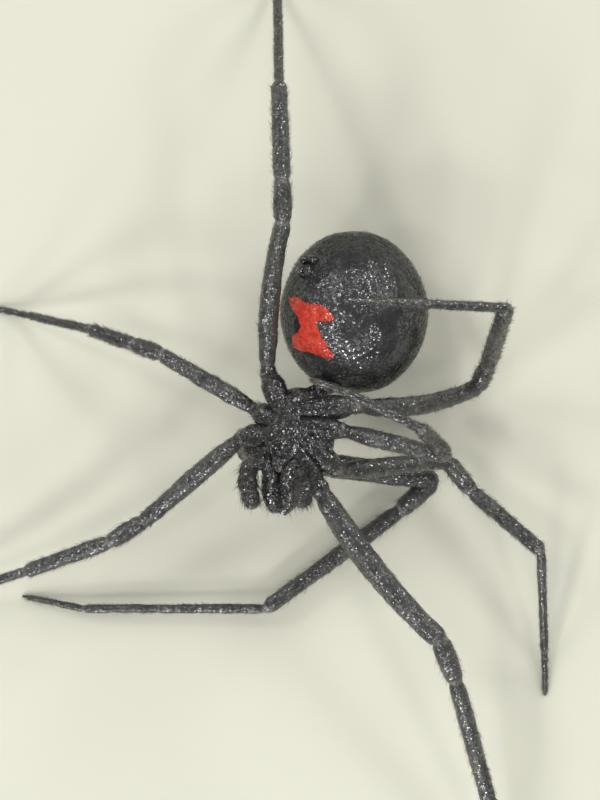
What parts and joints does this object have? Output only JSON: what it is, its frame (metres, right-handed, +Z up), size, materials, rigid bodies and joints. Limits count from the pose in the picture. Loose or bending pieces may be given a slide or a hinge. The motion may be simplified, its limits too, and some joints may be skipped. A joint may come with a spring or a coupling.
{
  "type": "black widow spider",
  "caption": "Life-size still model of an adult female black widow spider lying on its back, belly up with a red hourglass mark, legs spread.",
  "frame": {"origin": "on the floor, under the middle of the whole spider's bounding box", "axes": "+Z up from the floor to the belly; +Y from the spider's head end to its rear end, the longest way; +X to the spider's right"},
  "size_m": [0.0262, 0.0428, 0.0101],
  "materials": {
    "black_cuticle": "satin black, leathery and finely granular",
    "leg_cuticle": "satin black, covered in short fine hairs",
    "red_mark": "bright red, leathery",
    "hairy_cuticle": "black-brown and bristly"
  },
  "bodies": {
    "root": {"cephalothorax": "black_cuticle", "pedicel": "black_cuticle", "abdomen": "black_cuticle", "hourglass": "red_mark", "chelicera_left": "black_cuticle", "chelicera_right": "black_cuticle", "palp_left": "hairy_cuticle", "palp_right": "hairy_cuticle", "leg_r1_femur": "leg_cuticle", "leg_r1_shank": "leg_cuticle", "leg_r1_foot": "leg_cuticle", "leg_r2_femur": "leg_cuticle", "leg_r2_shank": "leg_cuticle", "leg_r2_foot": "leg_cuticle", "leg_r3_femur": "leg_cuticle", "leg_r3_shank": "leg_cuticle", "leg_r3_foot": "leg_cuticle", "leg_r4_femur": "leg_cuticle", "leg_r4_shank": "leg_cuticle", "leg_r4_foot": "leg_cuticle", "leg_l1_femur": "leg_cuticle", "leg_l1_shank": "leg_cuticle", "leg_l1_foot": "leg_cuticle", "leg_l2_femur": "leg_cuticle", "leg_l2_shank": "leg_cuticle", "leg_l2_foot": "leg_cuticle", "leg_l3_femur": "leg_cuticle", "leg_l3_shank": "leg_cuticle", "leg_l3_foot": "leg_cuticle", "leg_l4_femur": "leg_cuticle", "leg_l4_shank": "leg_cuticle", "leg_l4_foot": "leg_cuticle"}
  },
  "joints": []
}
